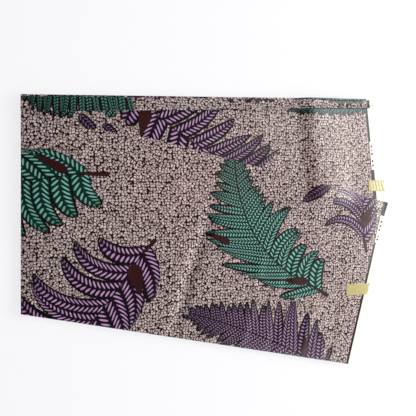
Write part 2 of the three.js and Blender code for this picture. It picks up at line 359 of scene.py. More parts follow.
def closed_cloth(name, plan, height, thickness):
    """A thin closed shell over a plan grid, as a new object: a fine face, a rounded rim and a coarser
    underside. Each rim point stands out by cos(angle) of half the thickness, and a polygon joins each
    four steps of the fine rim to one of the underside's."""
    rows, columns = plan.shape[:2]
    face = np.concatenate([plan, height(plan[..., 0], plan[..., 1])[..., None]], axis=2)
    row, column = rim_order(rows, columns)
    rim = face[row, column]
    tangent = np.roll(rim, -1, axis=0)[:, :2] - np.roll(rim, 1, axis=0)[:, :2]
    outward = np.stack([tangent[:, 1], -tangent[:, 0]], axis=1) / np.hypot(*tangent.T)[:, None]
    rings = []
    for angle in rim_angles:
        shift = thickness / 2 * np.array([math.cos(angle), math.sin(angle) - 1])
        rings.append(np.column_stack([rim[:, :2] + outward * shift[0], rim[:, 2] + shift[1]]))
    under = face[::under_step, ::under_step].copy()
    under[..., 2] -= thickness
    points = np.concatenate([face.reshape(-1, 3), *rings, under.reshape(-1, 3)])

    ids = np.arange(rows * columns).reshape(rows, columns)
    quads = [grid_quads(ids)]
    around = len(rim)
    levels = [ids[row, column]] + [ids.size + around * k + np.arange(around) for k in range(len(rings))]
    for high, low in zip(levels, levels[1:]):
        quads.append(band_quads(low, high))
    first_under = ids.size + around * len(rings)
    under_ids = first_under + np.arange(under.shape[0] * under.shape[1]).reshape(under.shape[:2])
    quads.append(grid_quads(under_ids.T))
    faces = np.concatenate(quads).tolist()
    under_rim = under_ids[rim_order(*under.shape[:2])]
    last = levels[-1]
    for k in range(len(under_rim)):
        fine = [last[(under_step * k + j) % len(last)] for j in range(under_step + 1)]
        faces.append([int(under_rim[k]), int(under_rim[(k + 1) % len(under_rim)]), *map(int, reversed(fine))])

    piece = new_piece(name, points, faces)
    map_flat(piece.data, points)
    return piece, points, ids


# The ferns of the print, in plan. A fern grows from its base to its tip, and its fingers leave the
# spine on both sides, ever closer: pitch is their spacing at the base and at the tip. Bow is how far
# the spine bends to its left, as a share of its length. Reach is the length of the fingers at equal
# shares of the spine from base to tip. Headings are degrees away from the spine: where the fingers near
# the base start and end, and then those of the upper half. A count, (1.0, 0.4) if none is given, is
# the fingers for each pitch and where the first one starts. Fade is how strongly the lozenges are
# inked, and share is how much of its room a finger fills, both 1 if not given. Drops are brown, each
# from a root to a tip, with its half width.
lower_ferns = [
    {
        "ink": "teal", "stem": (-0.202, 0.091), "base": (-0.240, 0.091), "tip": (-0.450, 0.070), "bow": 0.02,
        "pitch": (0.034, 0.018), "left_count": (1.0, 0.45), "right_count": (0.92, 0.42),
        "left_reach": (0.056, 0.078, 0.088, 0.090, 0.030), "left_heading": (80, 142, 84, 136),
        "right_reach": (0.100, 0.096, 0.084, 0.060, 0.020), "right_heading": (56, 2, 54, 8),
        "drops": [((-0.258, 0.092), (-0.306, 0.119), 0.0072)],
    },
    {
        "ink": "lilac", "stem": (-0.128, -0.011), "base": (-0.147, -0.030), "tip": (-0.325, -0.235),
        "pitch": (0.038, 0.024), "left_count": (0.80, 0.45), "right_count": (1.0, 0.45),
        "left_reach": (0.068, 0.098, 0.096, 0.080, 0.030), "left_heading": (66, 18, 62, 34),
        "right_reach": (0.080, 0.112, 0.126, 0.104, 0.050), "right_heading": (50, 128, 58, 124),
        "bow": 0.03, "share": 0.94, "drops": [((-0.162, -0.046), (-0.150, -0.096), 0.0120)],
    },
    {
        "ink": "teal", "stem": (0.184, -0.114), "base": (0.164, -0.102), "tip": (0.006, 0.136), "bow": 0.165,
        "pitch": (0.030, 0.0085), "fade": 1.15, "right_count": (0.9, 0.4),
        "left_reach": (0.066, 0.112, 0.108, 0.074, 0.042, 0.010), "left_heading": (34, 22, 62, 50),
        "right_reach": (0.058, 0.066, 0.082, 0.052, 0.032, 0.010), "right_heading": (64, 124, 58, 62),
        "drops": [((0.146, -0.088), (0.094, -0.083), 0.0072), ((-0.002, -0.018), (-0.038, 0.000), 0.0062)],
    },
    {
        "ink": "lilac", "stem": (0.196, -0.252), "base": (0.172, -0.238), "tip": (-0.070, -0.128),
        "bow": -0.03, "pitch": (0.025, 0.0088), "fade": 0.82,
        "left_reach": (0.040, 0.060, 0.055, 0.040, 0.012), "left_heading": (50, 60, 50, 50),
        "right_reach": (0.058, 0.086, 0.058, 0.034, 0.012), "right_heading": (64, 74, 58, 62),
        "drops": [((0.141, -0.218), (0.138, -0.180), 0.0085)],
    },
    {
        "ink": "lilac", "stem": (0.269, -0.039), "base": (0.263, -0.014), "tip": (0.232, 0.150), "bow": -0.05,
        "pitch": (0.031, 0.018), "left_count": (1.0, 0.45), "right_count": (0.8, 0.45),
        "left_reach": (0.092, 0.116, 0.106, 0.060, 0.012), "left_heading": (32, 126, 44, 160), "share": 0.9,
        "right_reach": (0.060, 0.044, 0.046, 0.040, 0.012), "right_heading": (54, 10, 50, 30),
        "drops": [((0.260, 0.008), (0.283, 0.046), 0.0110)],
    },
]
lower_leaves = [
    {"ink": "lilac", "root": (0.181, 0.079), "tip": (0.137, 0.053), "width": 0.016},
    {"ink": "lilac", "root": (0.176, -0.238), "tip": (0.194, -0.210), "width": 0.012},
]
lower_stalks = [((0.181, 0.079), (0.198, 0.082), (0.216, 0.072), 0.0013)]
root_sway = 0.05
tip_sway = 0.16
reach_sway = 0.07
finger_steps = 48
spine_steps = 260
beyond_tip = 1.25
spine_margin = 0.10


def by_share(values, share):
    """A smooth value between numbers given at equal shares from 0 to 1."""
    place = np.clip(share, 0, 1) * (len(values) - 1)
    low = np.minimum(place.astype(int), len(values) - 2)
    t = ease(0, 1, place - low)
    values = np.array(values)
    return values[low] * (1 - t) + values[low + 1] * t


def finger_shape(t):
    """A finger's width as a share of its widest, from root to tip, and how far past the tip it is."""
    return np.clip(1 - t ** 3.0, 0, 1) ** 0.75, np.maximum(t - 1, 0)


def lozenge_pitch(half):
    """Spacing of the lozenges on a finger of some half width: wide fingers have larger ones."""
    return np.minimum(0.0030 + 0.34 * half, 0.0078)


def fern_fields(fern, points):
    """The fern's own coordinates at each point: which finger as a running number, the place along it,
    its lozenges' pitch, its half width, the spacing of fingers, a tone, and the distance from the spine.

    Finger centre lines through every point of the spine make a curved grid. Each point takes the
    nearest place of that grid, moved on by the grid's own slope there, so the numbers run smoothly."""
    base, tip = np.array(fern["base"]), np.array(fern["tip"])
    chord = tip - base
    control = (base + tip) / 2 + 2 * fern["bow"] * np.array([-chord[1], chord[0]])
    share = np.linspace(-spine_margin, 1, spine_steps)
    t = share[:, None]
    spine = (1 - t) ** 2 * base + 2 * t * (1 - t) * control + t ** 2 * tip
    slope = np.gradient(spine, axis=0)
    heading = np.unwrap(np.arctan2(slope[:, 1], slope[:, 0]))
    length = np.hypot(*np.diff(spine, axis=0).T).sum()
    wide, narrow = fern["pitch"]
    pitch = wide + (narrow - wide) * np.clip(share, 0, 1) ** 0.8
    number = np.concatenate([[0], np.cumsum(np.diff(share) * length / pitch[1:])])
    number -= np.interp(0, share, number)
    empty = {
        "number": -2.0, "along": 0.0, "lozenge": 0.005, "half": -0.01, "spacing": 0.01, "tone": 0.0,
        "spine": 1.0, "shear": 0.0,
    }
    result = {name: np.full(len(points), value) for name, value in empty.items()}
    gap = points[:, None] - spine[None, ::4]
    near = np.argmin((gap ** 2).sum(2), axis=1)
    gap = gap[np.arange(len(points)), near]
    slope = slope[::4][near]
    from_spine = (slope[:, 0] * gap[:, 1] - slope[:, 1] * gap[:, 0]) / np.hypot(*slope.T)
    t = np.linspace(0, beyond_tip, finger_steps)
    for turn, side in ((1, "left"), (-1, "right")):
        start, end, late_start, late_end = np.radians(fern[side + "_heading"])
        rate, offset = fern.get(side + "_count", (1.0, 0.4))
        late = ease(0.25, 0.6, share)
        first = start + (late_start - start) * late + root_sway * np.sin(1.9 * number + turn)
        last = end + (late_end - end) * late + tip_sway * np.sin(2.3 * number + 2 * turn)
        reach = by_share(fern[side + "_reach"], share) * (1 + reach_sway * np.sin(2.6 * number + turn))
        bearing = heading[:, None] + turn * (first[:, None] + (last - first)[:, None] * t[None] ** 1.3)
        step = reach[:, None] * t[1]
        moves = np.stack([np.cos(bearing) * step, np.sin(bearing) * step], axis=2)
        grid = spine[:, None] + np.cumsum(moves, axis=1) - moves
        places = mathutils.kdtree.KDTree(grid.shape[0] * finger_steps)
        for k, (x, y) in enumerate(grid.reshape(-1, 2).tolist()):
            places.insert((x, y, 0), k)
        places.balance()
        chosen = np.flatnonzero(turn * from_spine >= 0)
        found = np.array([places.find((x, y, 0))[1] for x, y in points[chosen].tolist()], dtype=int)
        i, j = np.divmod(found, finger_steps)
        along_spine, along_finger = np.gradient(grid, axis=(0, 1))
        a, b, off = along_spine[i, j], along_finger[i, j], points[chosen] - grid[i, j]
        det = a[:, 0] * b[:, 1] - a[:, 1] * b[:, 0]
        det = np.where(np.abs(det) < 1e-12, 1e-12, det)
        di = np.clip((off[:, 0] * b[:, 1] - off[:, 1] * b[:, 0]) / det, -1, 1)
        dj = np.clip((a[:, 0] * off[:, 1] - a[:, 1] * off[:, 0]) / det, -1, 1)
        missed = np.hypot(*(off - di[:, None] * a - dj[:, None] * b).T) > 0.0015
        rows, columns = np.clip(i + di, 0, spine_steps - 1), np.clip(j + dj, 0, finger_steps - 1)
        every = np.arange(spine_steps)
        here = {name: np.interp(rows, every, values) for name, values in (
            ("share", share), ("number", number), ("pitch", pitch), ("reach", reach), ("first", first))}
        place = columns * t[1]
        count = here["number"] * rate + offset
        per_finger = here["pitch"] / rate / (share[1] - share[0]) / length
        full = fern.get("share", 1.0) * 0.5 * here["pitch"] / rate * np.sin(here["first"])
        taper, past = finger_shape(place)
        outside = missed | (count < 0)
        result["number"][chosen] = np.where(outside, -2, count)
        result["along"][chosen] = place * here["reach"]
        result["lozenge"][chosen] = lozenge_pitch(full)
        result["half"][chosen] = np.where(outside, -0.01, full * taper - past * here["reach"])
        result["spacing"][chosen] = per_finger * np.abs(det) / np.hypot(*b.T)
        result["shear"][chosen] = per_finger * (a * b).sum(1) / np.hypot(*b.T)
        finger_end = 1 - 0.6 * ease(0.55, 1, place)
        fern_end = 1 - 0.4 * ease(0.5, 0.95, here["share"])
        result["tone"][chosen] = fern.get("fade", 1.0) * finger_end * fern_end
        result["spine"][chosen] = from_spine[chosen]
    return result


def depth_in_strand(points, line, half):
    """For points near a tapered strand: its depth inside, place along it, and distance to its left."""
    start, step = line[:-1], np.diff(line, axis=0)
    reach = points[:, None] - start
    t = np.clip((reach * step).sum(2) / (step ** 2).sum(1), 0, 1)
    gap = reach - t[..., None] * step
    away = np.hypot(gap[..., 0], gap[..., 1])
    near = np.argmin(away, axis=1)
    every = np.arange(len(points))
    share = t[every, near]
    width = half[near] * (1 - share) + half[near + 1] * share
    turned = step[near, 0] * gap[every, near, 1] - step[near, 1] * gap[every, near, 0]
    return width - away[every, near], near + share, np.sign(turned) * away[every, near]


def leaf_fields(leaf, points):
    """A single small leaf in the same terms as a fern: one finger, numbered from 0 to 1 across."""
    t = np.linspace(0, 1, 23)
    half = leaf["width"] / 2 * np.sqrt(np.clip(1 - (1.7 * t - 0.7) ** 2, 0.02, 1))
    depth, along, left = depth_in_strand(points, line_points(leaf["root"], leaf["tip"], 23), half)
    length = math.dist(leaf["root"], leaf["tip"])
    spacing = 1.6 * leaf["width"]
    return {
        "number": np.clip(0.5 + left / spacing, 0.01, 0.99), "along": along / 22 * length,
        "lozenge": np.full(len(points), lozenge_pitch(leaf["width"] / 2)),
        "half": depth + np.abs(left), "spacing": np.full(len(points), spacing),
        "tone": np.full(len(points), 0.38), "spine": np.ones(len(points)), "shear": np.zeros(len(points)),
    }


def drawn_motifs(points, ferns, leaves, stalks):
    """The fields of all motifs at each point, each from the motif that reaches furthest over it."""
    names = ("number", "along", "lozenge", "half", "spacing", "tone", "spine", "shear")
    fields = {name: np.zeros(len(points)) for name in (*names, "ink", "owner")}
    fields["half"] -= 0.01
    fields["spacing"] += 0.01
    fields["lozenge"] += 0.005
    brown = []
    for fern in ferns:
        brown.append((line_points(fern["stem"], fern["base"], 3), np.array([0.0034, 0.0026, 0.0022])))
        for root, tip, width in fern.get("drops", []):
            t = np.linspace(0, 1, 13)
            blunt_end = np.sqrt(np.clip(1 - (1 - t / 0.3) ** 2, 0.02, 1))
            swell = np.where(t < 0.3, blunt_end, np.clip((1 - t) / 0.7, 0.02, 1) ** 0.75)
            brown.append((line_points(root, tip, 13), width * swell))
    for start, control, end, width in stalks:
        brown.append((quadratic(start, control, end, 9), np.full(9, width)))
    for order, motif in enumerate([*ferns, *leaves]):
        ends = np.array([motif.get("base", motif.get("root")), motif["tip"]])
        margin = max(motif.get("left_reach", (0.01,)) + motif.get("right_reach", (0.01,))) * 1.1
        near = np.flatnonzero(((points > ends.min(0) - margin) & (points < ends.max(0) + margin)).all(1))
        if len(near) == 0:
            continue
        drawn = fern_fields(motif, points[near]) if "base" in motif else leaf_fields(motif, points[near])
        wins = drawn["half"] > fields["half"][near]
        chosen = near[wins]
        for name in names:
            fields[name][chosen] = drawn[name][wins]
        fields["owner"][chosen] = order + 1
        fields["ink"][chosen] = 1.0 if motif["ink"] == "lilac" else 0.0
    fields["brown"] = np.full(len(points), -1.0)
    for line, half in brown:
        fields["brown"] = np.maximum(fields["brown"], depth_in_strand(points, line, half)[0])
    return fields


def store(mesh, name, values):
    """Keeps three numbers for each vertex as a named attribute."""
    attribute = mesh.attributes.new(name, "FLOAT_VECTOR", "POINT")
    attribute.data.foreach_set("vector", np.stack(values, axis=1).astype(np.float32).ravel())


def store_print(piece, points, ids, motifs, selvedge_line):
    """Keeps the print's fields on the mesh, lengths in millimetres. Where neighbouring vertices belong
    to different motifs, the finger has no width, so that none is drawn across the seam between them.
    Selvedge holds the distance past the printed width, the place along it, and the fingers' shear."""
    flat = points[:, :2]
    fields = drawn_motifs(flat, *motifs)
    owner = fields["owner"][ids]
    seam = np.zeros(owner.shape, dtype=bool)
    for first, second in ((np.s_[:-1, :], np.s_[1:, :]), (np.s_[:, :-1], np.s_[:, 1:])):
        differs = (owner[first] != owner[second]) & (owner[first] > 0) & (owner[second] > 0)
        seam[first] |= differs
        seam[second] |= differs
    fields["half"][ids[seam]] = -0.01
    across, along, _ = beside_line(*selvedge_line, flat[:, 0], flat[:, 1])
    store(piece.data, "finger", [fields["number"], fields["along"] * 1000, fields["half"] * 1000])
    store(piece.data, "motif", [fields["spacing"] * 1000, fields["ink"], fields["tone"]])
    store(piece.data, "spine", [fields["spine"] * 1000, fields["brown"] * 1000, fields["lozenge"] * 1000])
    store(piece.data, "selvedge", [-across * 1000, along * 1000, fields["shear"] * 1000])


smooth = {"interpolation_type": "SMOOTHSTEP"}
outline_ink = "#0e0708"


def waxed_print(name, bars):
    """Wax print cotton, resin printed and calendered: flat matt ink under a thin waxy glaze. Pale
    pebbles 4.5 mm apart crowd a near-black ground with dark dots 7.6 mm apart, and the ferns lie over
    them. A bar is the least and most distance across the selvedge and then along it, in millimetres."""
    material, put = new_material(name)
    flat = put("UVMap", uv_map="flat_cloth")

    def field(kept):
        """The three numbers of a field that the mesh keeps."""
        stored = put("Attribute", attribute_name=kept)
        return put("SeparateXYZ", {0: stored.outputs["Vector"]}).outputs

    number, along_finger, finger_half = field("finger")
    spacing, lilac, tone = field("motif")
    from_spine, brown_depth, lozenge_length = field("spine")
    past_print, along_selvedge, shear = field("selvedge")

    # Pebbles: cells with soft dark borders and rounded corners, bent so that no two are alike
    pebble_pitch = 0.0045
    dot_pitch = 0.0076
    bend_reach = (0.0035, 0.0035, 0.0)
    bend = put("TexNoise", {"Vector": flat, "Scale": 240.0, "Detail": 1.0}, noise_dimensions="2D")
    centred = put("VectorMath", {0: bend.outputs["Color"], 1: (0.5, 0.5, 0.5)}, operation="SUBTRACT")
    bent = put("VectorMath", {0: centred, 1: bend_reach, 2: flat}, operation="MULTIPLY_ADD")
    cells = {"Vector": bent, "Scale": 1 / pebble_pitch, "Randomness": 0.80}
    border = put("TexVoronoi", cells, voronoi_dimensions="2D", feature="DISTANCE_TO_EDGE")
    cell = put("TexVoronoi", cells, voronoi_dimensions="2D", feature="F1")
    chance = put("SeparateColor", {0: cell.outputs["Color"]})
    inside_border = put("MapRange", {0: border, 1: 0.05, 2: 0.17}, **smooth)
    inside_corner = put("MapRange", {0: cell, 1: 0.62, 2: 0.40}, **smooth)
    pebble = put("Math", {0: inside_border, 1: inside_corner}, operation="MULTIPLY")
    spots = {"Vector": bent, "Scale": 1 / dot_pitch, "Randomness": 0.85}
    dots = put("TexVoronoi", spots, voronoi_dimensions="2D")
    clear_of_dots = put("MapRange", {0: dots, 1: 0.13, 2: 0.22})
    pale = put("Math", {0: pebble, 1: clear_of_dots}, operation="MULTIPLY")
    pebble_inks = {0: chance.outputs[1], 6: linear("#bba7a5"), 7: linear("#e3d3d0")}
    pebble_ink = put("Mix", pebble_inks, data_type="RGBA")
    ground = put("Mix", {0: pale, 6: linear("#260e10"), 7: pebble_ink}, data_type="RGBA")

    # Fingers: the running number's fraction gives the place across, and so the depth inside the edge
    half_spacing = put("Math", {0: spacing, 1: 0.5}, operation="MULTIPLY")
    fraction = put("Math", {0: number}, operation="FRACT")
    across = put("MapRange", {0: fraction, 1: 0.0, 2: 1.0, 3: -1.0, 4: 1.0})
    side = put("Math", {0: across}, operation="ABSOLUTE")
    from_middle = put("Math", {0: side, 1: half_spacing}, operation="MULTIPLY")
    own_depth = put("Math", {0: finger_half, 1: from_middle}, operation="SUBTRACT")
    room = put("Math", {0: half_spacing, 1: from_middle}, operation="SUBTRACT")
    half_width = put("Math", {0: finger_half, 1: half_spacing}, operation="MINIMUM")
    across_share = put("Math", {0: from_middle, 1: half_width}, operation="DIVIDE")

    # Lozenges: two rows on each finger, slanted towards its tip, with a bare mid-vein between them
    slant = -0.84
    step_reach = 2.05
    vein_edge = 0.12
    row_edge = 0.86
    half_shear = put("Math", {0: shear, 1: 0.5}, operation="MULTIPLY")
    true_along = put("Math", {0: across, 1: half_shear, 2: along_finger}, operation="MULTIPLY_ADD")
    slanted = put("Math", {0: from_middle, 1: slant, 2: true_along}, operation="MULTIPLY_ADD")
    count = put("Math", {0: slanted, 1: lozenge_length}, operation="DIVIDE")
    step = put("Math", {0: count}, operation="FRACT")
    along = put("MapRange", {0: step, 1: 0.0, 2: 1.0, 3: -step_reach, 4: step_reach})
    row = {0: across_share, 1: vein_edge, 2: row_edge, 3: -1.0, 4: 1.0}
    across_row = put("MapRange", row, clamp=False)
    square = put("Math", {0: across_row, 1: across_row}, operation="MULTIPLY")
    radius = put("Math", {0: along, 1: along, 2: square}, operation="MULTIPLY_ADD")
    lozenge = put("MapRange", {0: radius, 1: 1.15, 2: 0.75}, **smooth)
    inked = put("Math", {0: lozenge, 1: tone}, operation="MULTIPLY")
    lozenge_ink = put("Mix", {0: lilac, 6: linear("#83bdb2"), 7: linear("#bf9ac0")}, data_type="RGBA")
    body_ink = put("Mix", {0: lilac, 6: linear("#032f27"), 7: linear("#1b0421")}, data_type="RGBA")
    edge = put("Math", {0: own_depth, 1: room}, operation="MINIMUM")
    off_spine = put("Math", {0: from_spine}, operation="ABSOLUTE")
    inmost = put("Math", {0: edge, 1: off_spine}, operation="MINIMUM")
    inner = put("MapRange", {0: inmost, 1: 0.4, 2: 1.4}, **smooth)
    body = put("Mix", {0: inner, 6: linear(outline_ink), 7: body_ink}, data_type="RGBA")
    lit = put("Math", {0: inked, 1: inner}, operation="MULTIPLY")
    leaf = put("Mix", {0: lit, 6: body, 7: lozenge_ink}, data_type="RGBA")
    in_leaf = put("MapRange", {0: own_depth, 1: -1.9, 2: -1.4}, **smooth)
    with_ferns = put("Mix", {0: in_leaf, 6: ground, 7: leaf}, data_type="RGBA")

    # Brown stems and drops, with a dark outline
    inside_rim = put("MapRange", {0: brown_depth, 1: 0.2, 2: 0.8}, **smooth)
    brown = put("Mix", {0: inside_rim, 6: linear(outline_ink), 7: linear("#341313")}, data_type="RGBA")
    in_brown = put("MapRange", {0: brown_depth, 1: -0.4, 2: 0.0}, **smooth)
    printed = put("Mix", {0: in_brown, 6: with_ferns, 7: brown}, data_type="RGBA")

    # Selvedge: unprinted cream cotton outside the printed width, with black bars along its inner side
    unprinted = put("MapRange", {0: past_print, 1: -0.2, 2: 0.2})
    with_margin = put("Mix", {0: unprinted, 6: printed, 7: linear("#e9e8de")}, data_type="RGBA")
    place = put("CombineXYZ", {0: past_print, 1: along_selvedge})
    in_bar = 0.0
    for low_across, high_across, low_along, high_along in bars:
        middle = ((low_across + high_across) / 2, (low_along + high_along) / 2, 0)
        half_size = ((high_across - low_across) / 2, (high_along - low_along) / 2, 0)
        off = put("VectorMath", {0: place, 1: middle}, operation="SUBTRACT")
        away = put("VectorMath", {0: off}, operation="ABSOLUTE")
        past = put("VectorMath", {0: away, 1: half_size}, operation="SUBTRACT")
        past_side, past_end, _ = put("SeparateXYZ", {0: past}).outputs
        furthest = put("Math", {0: past_side, 1: past_end}, operation="MAXIMUM")
        inside = put("MapRange", {0: furthest, 1: 0.15, 2: -0.15})
        in_bar = put("Math", {0: in_bar, 1: inside}, operation="MAXIMUM")
    colour = put("Mix", {0: in_bar, 6: with_margin, 7: linear("#17100f")}, data_type="RGBA")

    # Weave: threads are 0.35 mm apart in the real cloth, and are drawn 0.8 mm apart, so that they
    # show close up. A wave texture's scale is 0.314 over its pitch.
    thread_pitch = 0.0008
    threads = {"Vector": flat, "Scale": 0.314 / thread_pitch, "Distortion": 0.6}
    warp, weft = (put("TexWave", threads, bands_direction=way).outputs["Fac"] for way in "XY")
    weave = put("Math", {0: warp, 1: weft}, operation="MULTIPLY")
    bump = put("Bump", {"Height": weave, "Strength": 0.08, "Distance": 0.0001})
    shader = put(
        "BsdfPrincipled",
        {
            "Base Color": colour, "Roughness": 0.6, "IOR": 1.47, "Specular IOR Level": 0.03,
            "Coat Weight": 0.68, "Coat Roughness": 0.25, "Coat IOR": 1.5, "Normal": bump,
        },
    )
    put("OutputMaterial", {0: shader})
    return material


lower_columns = 352
lower_rows = 172


def toward(a, b, distance):
    """The point at a distance from a on the way to b."""
    share = distance / math.dist(a, b)
    return (a[0] + (b[0] - a[0]) * share, a[1] + (b[1] - a[1]) * share)


bend_from = toward(lower_bend, lower_top_left, bend_ease)
bend_to = toward(lower_bend, lower_top_right, bend_ease)
top_fold = np.concatenate([
    line_points(lower_top_left, bend_from, 20)[:-1],
    quadratic(bend_from, lower_bend, bend_to, 30),
    line_points(bend_to, lower_top_right, 20)[1:],
])
lower_plan = fill_sides(
    line_points(lower_bottom_left, lower_bottom_right, lower_columns + 1),
    line_points(lower_bottom_right, lower_top_right, lower_rows + 1),
    evenly(top_fold, lower_columns + 1),
    line_points(lower_bottom_left, lower_top_left, lower_rows + 1),
)
sheet_thickness = 0.0009
lower_panel, lower_points, lower_ids = closed_cloth(
    "lower_panel_cloth",
    lower_plan,
    lambda x, y: lower_top(x, y) + creases(lower_creases, x, y),
    sheet_thickness,
)
lower_selvedge = ((0.2252, -0.242), (0.3058, 0.0474))
lower_ticks = ((232, 236), (239, 241), (250, 254), (258, 262), (266, 270))
lower_bars = [
    (0.0, 5.0, -10, 227.5), (0.0, 1.9, 220, 290), (0.0, 10.5, 279.5, 310),
    *[(4.6, 8.4, *tick) for tick in lower_ticks],
]
store_print(lower_panel, lower_points, lower_ids, (lower_ferns, lower_leaves, lower_stalks), lower_selvedge)
lower_panel.data.materials.append(waxed_print("waxed_cotton_print_lower", lower_bars))


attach(lower_panel, "root")
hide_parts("lower_panel")

# Upper panel
# The stretch below it, of the same cloth: it leans the other way, shows as a long wedge, and its
# near edge is hidden under the lower panel. A crisp ridge crosses it, and its right edge bulges.
upper_ferns = [
    {
        "ink": "lilac", "stem": (-0.150, 0.226), "base": (-0.146, 0.206), "tip": (0.052, 0.106), "bow": -0.08,
        "pitch": (0.040, 0.032), "left_count": (1.0, 0.35), "right_count": (0.80, 0.75),
        "left_reach": (0.064, 0.098, 0.078, 0.072, 0.054), "left_heading": (62, 92, 46, 60),
        "right_reach": (0.056, 0.062, 0.060, 0.040, 0.020), "right_heading": (74, 66, 44, 40),
        "share": 0.76, "drops": [((-0.140, 0.196), (-0.150, 0.150), 0.0105)],
    },
]
# Two small rows of leaves at the far edge, which run on under the turnover
far_ferns = [
    {
        "ink": "teal", "stem": (-0.095, 0.212), "base": (-0.112, 0.204), "tip": (-0.296, 0.190), "bow": 0.02,
        "pitch": (0.013, 0.009),
        "left_reach": (0.022, 0.030, 0.028, 0.024, 0.014), "left_heading": (40, 52, 44, 52),
        "right_reach": (0.040, 0.040, 0.040, 0.030, 0.010), "right_heading": (40, 60, 50, 60),
    },
    {
        "ink": "teal", "stem": (0.290, 0.240), "base": (0.276, 0.232), "tip": (0.110, 0.2105), "bow": 0.0,
        "pitch": (0.012, 0.007), "fade": 0.75,
        "left_reach": (0.024, 0.026, 0.022, 0.016, 0.006), "left_heading": (44, 50, 44, 48),
        "right_reach": (0.040, 0.045, 0.040, 0.030, 0.010), "right_heading": (45, 60, 50, 60),
    },
]
upper_leaves = [
    {"ink": "lilac", "root": (-0.238, 0.174), "tip": (-0.218, 0.154), "width": 0.013},
    {"ink": "lilac", "root": (-0.204, 0.164), "tip": (-0.186, 0.150), "width": 0.010},
]
upper_creases = [
    ((0.040, 0.230), (0.070, 0.110), 0.018, 0.0004),
    ((0.225, 0.225), (0.240, 0.080), 0.016, -0.0004),
    ((-0.240, 0.185), (0.090, 0.165), 0.010, 0.0003),
]
upper_columns = 352
upper_rows = 108
bulge_control = tuple(2 * upper_bulge[k] - (upper_hidden_right[k] + upper_top_right[k]) / 2 for k in range(2))
upper_plan = fill_sides(
    line_points(upper_hidden_left, upper_hidden_right, upper_columns + 1),
    evenly(quadratic(upper_hidden_right, bulge_control, upper_top_right, 80), upper_rows + 1),
    line_points(upper_top_left, upper_top_right, upper_columns + 1),
    line_points(upper_hidden_left, upper_top_left, upper_rows + 1),
)
upper_panel, upper_points, upper_ids = closed_cloth(
    "upper_panel_cloth",
    upper_plan,
    lambda x, y: upper_top(x, y) + creases(upper_creases, x, y),
    sheet_thickness,
)
upper_selvedge = ((0.2842, 0.063), (0.2661, 0.227))
upper_ticks = ((53, 57), (61, 65), (74, 78), (82, 84), (88, 92))
upper_bars = [
    (0.0, 7.8, -20, 47), (0.0, 1.9, 40, 110), (0.0, 5.2, 98.5, 200),
    *[(4.0, 7.6, *tick) for tick in upper_ticks],
]
store_print(upper_panel, upper_points, upper_ids, (upper_ferns + far_ferns, upper_leaves, []), upper_selvedge)
upper_panel.data.materials.append(waxed_print("waxed_cotton_print_upper", upper_bars))
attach(upper_panel, "root")
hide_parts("upper_panel")

# Top turnover
# The next stretch of the same cloth comes over the far edge of the pile and lies on the upper
# panel as a strip about 20 mm wide. Its near edge is a pressed fold.
# The strip cuts across other ferns of the print, so they are drawn on their own
turnover_ferns = [
    {
        "ink": "teal", "stem": (-0.150, 0.252), "base": (-0.172, 0.242), "tip": (-0.318, 0.212), "bow": -0.02,
        "pitch": (0.0115, 0.0085), "fade": 0.5,
        "left_reach": (0.110, 0.110, 0.100, 0.060, 0.022), "left_heading": (90, 90, 72, 74),
        "right_reach": (0.030, 0.030, 0.030, 0.030, 0.020), "right_heading": (50, 60, 50, 60),
    },
    {
        "ink": "teal", "stem": (0.285, 0.262), "base": (0.268, 0.252), "tip": (0.150, 0.244), "bow": 0.0,
        "pitch": (0.011, 0.007), "fade": 0.6,
        "left_reach": (0.026, 0.030, 0.026, 0.020, 0.010), "left_heading": (52, 64, 52, 60),
        "right_reach": (0.020, 0.020, 0.020, 0.020, 0.010), "right_heading": (45, 60, 50, 60),
    },
    {
        "ink": "lilac", "stem": (-0.090, 0.262), "base": (-0.066, 0.254), "tip": (0.096, 0.238), "bow": 0.0,
        "pitch": (0.017, 0.008), "fade": 0.5,
        "left_reach": (0.030, 0.034, 0.030, 0.022, 0.010), "left_heading": (45, 60, 50, 60),
        "right_reach": (0.034, 0.040, 0.034, 0.026, 0.010), "right_heading": (52, 66, 50, 60),
    },
]
turnover_lower_left = (centre_fold_x, 0.1775)
turnover_lower_right = (0.2865, 0.2250)
turnover_rows = 20
turnover_wrap = 0.0045
turnover_plan = fill_sides(
    line_points(turnover_lower_left, turnover_lower_right, upper_columns + 1),
    line_points(turnover_lower_right, upper_top_right, turnover_rows + 1),
    line_points(upper_top_left, upper_top_right, upper_columns + 1),
    line_points(turnover_lower_left, upper_top_left, turnover_rows + 1),
)
turnover_thickness = 0.0016
turnover_lift = 0.0019
turnover_curl = 0.0022


def turnover_height(x, y):
    """The strip lies close on the upper panel, curls up at its near fold and bends down over the far edge."""
    beyond = -beside_line(upper_top_left, upper_top_right, x, y)[0]
    inside = beside_line(turnover_lower_left, turnover_lower_right, x, y)[0]
    curl = turnover_curl * (1 - ease(0.0, 0.0065, inside))
    wrap = turnover_wrap * (1 - ease(0.0, 0.004, beyond))
    return upper_top(x, y) + turnover_lift + curl + creases(upper_creases, x, y) - wrap


turnover, turnover_points, turnover_ids = closed_cloth(
    "top_turnover_cloth", turnover_plan, turnover_height, turnover_thickness
)
turnover_selvedge = ((0.2690, 0.2213), (0.2712, 0.2400))
turnover_bars = [(0.0, 5.0, -20, 50)]
store_print(turnover, turnover_points, turnover_ids, (turnover_ferns, [], []), turnover_selvedge)
turnover.data.materials.append(waxed_print("waxed_cotton_print_turnover", turnover_bars))
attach(turnover, "root")
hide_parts("top_turnover")

# Folded stack
# All the layers below: some three dozen of the same cotton, folded back and forth. From the side
# each pair shows as a soft rounded fold, a little further in or out than the next one.
pile_outline = [
    lower_bottom_left, lower_bottom_right, lower_top_right,
    upper_hidden_right, upper_top_right, upper_top_left,
]
stack_folds = 16
outline_points = 900
corner_softness = 5
fold_groove = 0.0009


